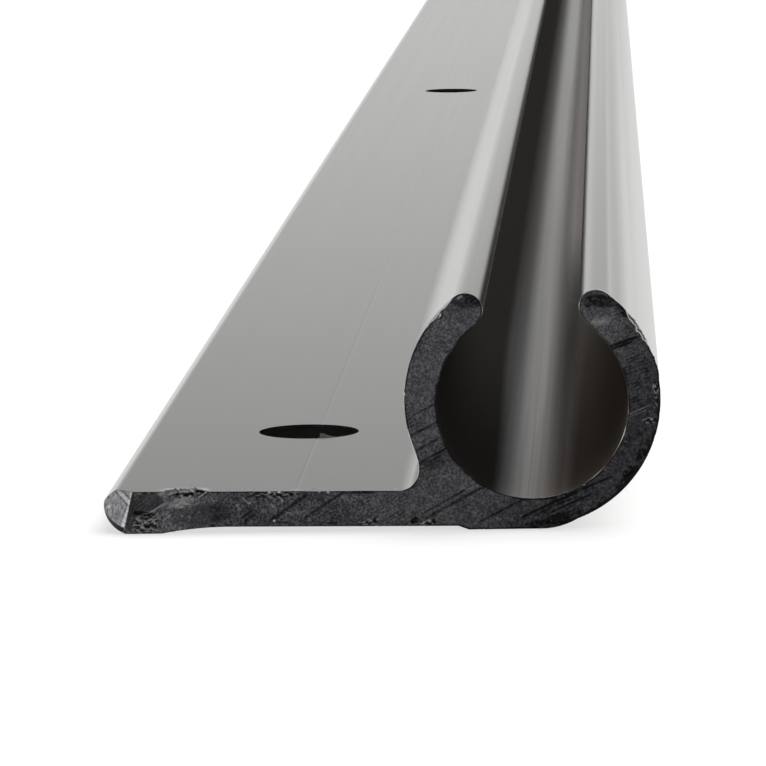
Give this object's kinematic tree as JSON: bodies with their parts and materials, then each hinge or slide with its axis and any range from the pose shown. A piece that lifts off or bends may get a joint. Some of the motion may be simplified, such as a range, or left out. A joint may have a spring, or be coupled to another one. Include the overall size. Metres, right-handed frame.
{
  "type": "awning rail",
  "caption": "Aluminium awning rail: a slotted round channel for a beaded fabric edge, beside a drilled flat screw flange.",
  "frame": {"origin": "bottom centre of the whole part's box, on the back plane that rests on the wall", "axes": "+Y along the rail, away from the sawn end seen in the picture; +X across, from the flange's edge to the channel; +Z out from the back plane"},
  "size_m": [0.027, 1, 0.0116],
  "materials": {
    "satin_aluminium": "satin, as extruded"
  },
  "bodies": {
    "root": {"awning_rail": "satin_aluminium"}
  },
  "joints": []
}
